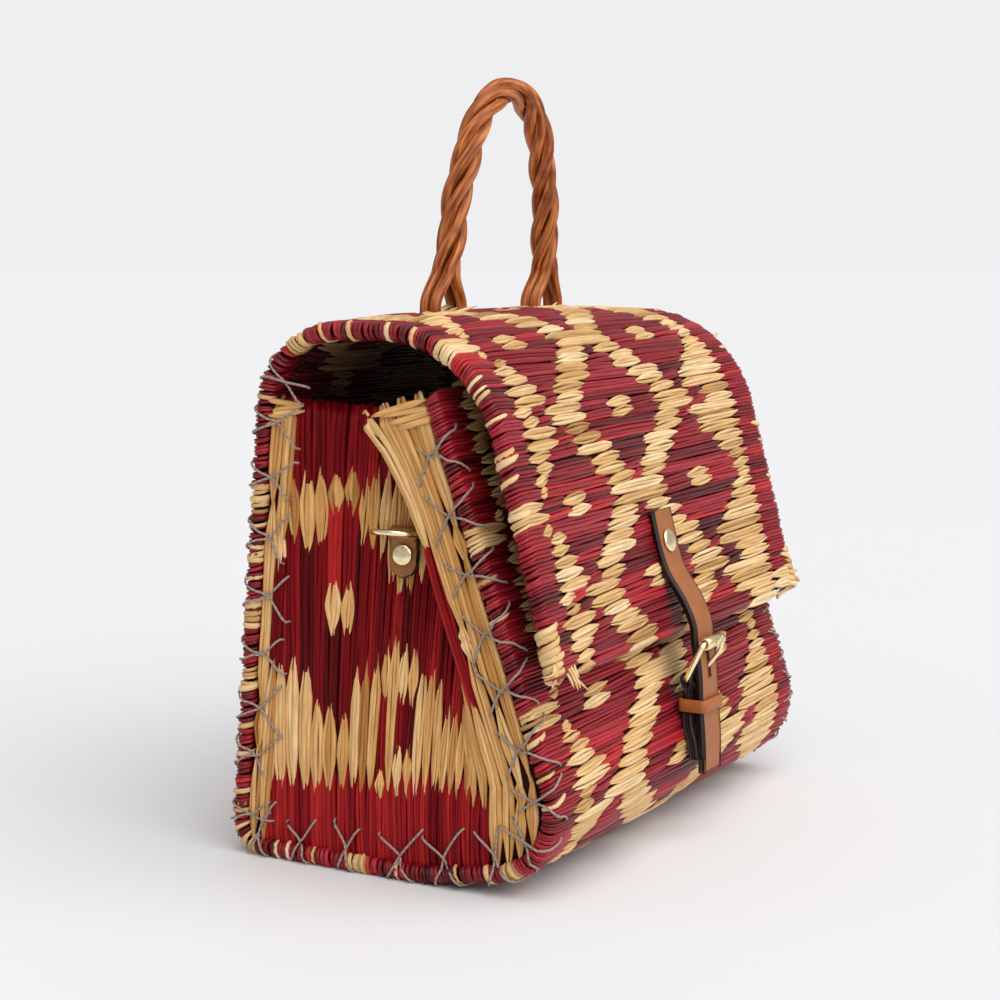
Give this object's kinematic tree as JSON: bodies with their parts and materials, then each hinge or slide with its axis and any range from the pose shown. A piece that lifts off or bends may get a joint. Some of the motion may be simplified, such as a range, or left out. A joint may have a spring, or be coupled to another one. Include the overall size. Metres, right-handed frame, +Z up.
{
  "type": "woven reed satchel",
  "caption": "Closed satchel of thick dyed reed mat with folded end panels, a twisted willow bow handle, a leather strap with roller buckle on its flap, and a ring on each end.",
  "frame": {"origin": "on the flat base, on the surface that the satchel stands on, under the middle of its length", "axes": "+Z up, +X along the length, -Y out of the front wall that carries the buckle"},
  "size_m": [0.279, 0.1893, 0.3616],
  "materials": {
    "reed_red": "dyed reed, woven in bundles with natural straw floats",
    "reed_natural": "natural and dyed reed, woven upright",
    "willow": "satin peeled willow",
    "leather": "tan, with dark edges",
    "brass": "polished"
  },
  "bodies": {
    "bag": {"reed_wrap": "reed_red", "end_panel_left": "reed_natural", "end_panel_right": "reed_natural", "ring_tab_left": "leather", "ring_tab_right": "leather", "tab_rivet_left": "brass", "tab_rivet_right": "brass", "handle_rod_1": "willow", "handle_rod_2": "willow", "handle_rod_3": "willow", "handle_rod_4": "willow", "flap_strap": "leather", "flap_rivet": "brass", "buckle_frame": "brass", "buckle_roller": "brass", "buckle_prong": "brass", "buckle_chape": "leather", "chape_rivet": "brass", "strap_keeper": "leather"},
    "ring_left": {"side_ring_left": "brass"},
    "ring_right": {"side_ring_right": "brass"}
  },
  "joints": [
    {"name": "ring_left_swing", "type": "hinge", "parent": "bag", "child": "ring_left", "pos_m": [-0.12226, 0.00004, 0.15366], "axis": [0.2205, -0.9747, -0.0354], "range_deg": [-75, 65]},
    {"name": "ring_right_swing", "type": "hinge", "parent": "bag", "child": "ring_right", "pos_m": [0.12226, 0.00004, 0.15366], "axis": [0.2205, 0.9747, 0.0354], "range_deg": [-75, 65]}
  ]
}
